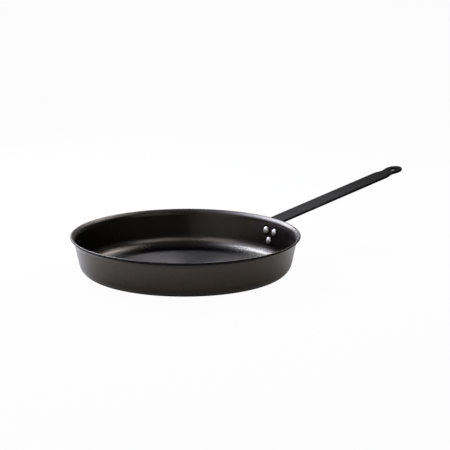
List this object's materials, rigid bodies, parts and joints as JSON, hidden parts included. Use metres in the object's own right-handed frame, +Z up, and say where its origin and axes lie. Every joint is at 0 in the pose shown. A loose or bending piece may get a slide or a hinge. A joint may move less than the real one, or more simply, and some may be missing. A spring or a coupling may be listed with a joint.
{
  "type": "frying pan",
  "caption": "Shallow round carbon-steel frying pan with sloping sides and a flared rim, and a long flat strip handle, riveted on, that ends in a hanging eye.",
  "frame": {"origin": "centre of the pan's flat underside, where it rests on the stove", "axes": "+Z up, out of the pan; +X along the handle, towards the hanging eye; +Y to the left when looking along the handle from the pan"},
  "size_m": [0.4831, 0.28, 0.0876],
  "materials": {
    "seasoned_steel": "satin, dark brown-black baked-on seasoning over pressed carbon steel",
    "blacked_steel": "matt black scale on flat strip steel",
    "bright_steel": "bright, lightly polished"
  },
  "bodies": {
    "root": {"pan_body": "seasoned_steel", "handle": "blacked_steel", "rivet_upper_left": "bright_steel", "rivet_upper_right": "bright_steel", "rivet_lower": "bright_steel"}
  },
  "joints": []
}
